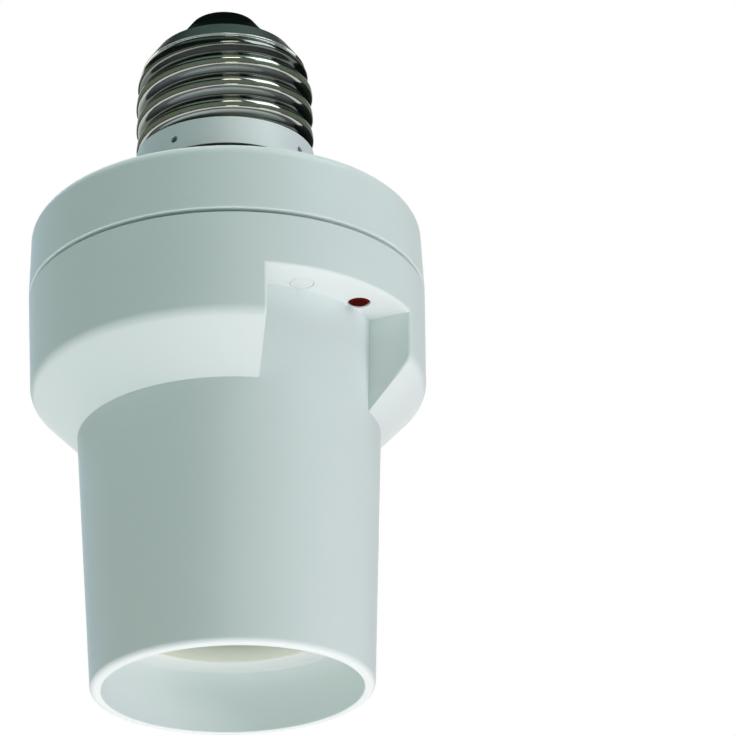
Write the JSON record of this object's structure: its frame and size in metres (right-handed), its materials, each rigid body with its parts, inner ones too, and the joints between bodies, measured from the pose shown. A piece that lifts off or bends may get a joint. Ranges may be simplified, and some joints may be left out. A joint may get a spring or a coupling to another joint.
{
  "type": "dimmable lamp socket adapter",
  "caption": "Screw-in lamp adapter: metal screw cap on a round plastic body, tapered skirt round a lamp socket, notch with indicator lamp and push button.",
  "frame": {"origin": "centre of the skirt's rim plane, the lowest point of the part", "axes": "+Z along the axis from the skirt's rim to the screw cap, -Y through the middle of the notch"},
  "size_m": [0.057, 0.057, 0.1055],
  "materials": {
    "pale_plastic": "fine satin moulding",
    "nickel_plate": "bright nickel plate",
    "black_glass": "glossy black",
    "solder": "dull solder",
    "red_lens": "dark red tinted resin",
    "tinned_steel": "tinned",
    "black_plastic": "moulded",
    "cream_plastic": "moulded, satin",
    "brass": "rolled",
    "board": "lacquered laminate",
    "aluminium": "rolled",
    "ferrite": "sintered",
    "copper": "enamelled wire",
    "yellow_case": "moulded",
    "dark_sleeve": "shrunk sleeve",
    "grey_ceramic": "ceramic",
    "red_insulation": "wire insulation",
    "white_insulation": "wire insulation"
  },
  "bodies": {
    "adapter": {"main_housing": "pale_plastic", "top_cover": "pale_plastic", "screw_shell": "nickel_plate", "cap_insulator": "black_glass", "centre_contact": "solder", "indicator_led": "red_lens", "led_legs": "tinned_steel", "switch_body": "black_plastic", "lampholder_body": "cream_plastic", "lamp_thread_shell": "nickel_plate", "shell_rivets": "brass", "contact_rivet": "brass", "contact_terminal": "brass", "shell_terminal": "brass", "contact_base": "brass", "lampholder_screws": "tinned_steel", "pcb_screws": "tinned_steel", "main_pcb": "board", "heatsink": "aluminium", "triac": "black_plastic", "triac_screw": "tinned_steel", "choke_core": "ferrite", "choke_winding": "copper", "film_capacitor": "yellow_case", "electrolytic_capacitor": "dark_sleeve", "fuse": "black_plastic", "dropper_resistor": "grey_ceramic", "rectifier_diodes": "black_plastic", "controller_chip": "black_plastic", "receiver_board": "board", "receiver_pins": "tinned_steel", "antenna_coil": "copper", "cap_centre_lead": "red_insulation", "cap_shell_lead": "white_insulation", "lamp_centre_lead": "red_insulation", "lamp_shell_lead": "white_insulation"},
    "button": {"pairing_button": "pale_plastic", "switch_plunger": "black_plastic"},
    "tongue": {"contact_tongue": "brass"}
  },
  "joints": [
    {"name": "button_press", "type": "slide", "parent": "adapter", "child": "button", "axis": [0, 0, 1], "range_m": [0, 0.0005], "stiffness_N_per_m": 2000},
    {"name": "tongue_bend", "type": "hinge", "parent": "adapter", "child": "tongue", "pos_m": [-0.0075, 0, 0.0377], "axis": [0, -1, 0], "range_deg": [0, 9], "stiffness_Nm_per_rad": 0.2}
  ]
}
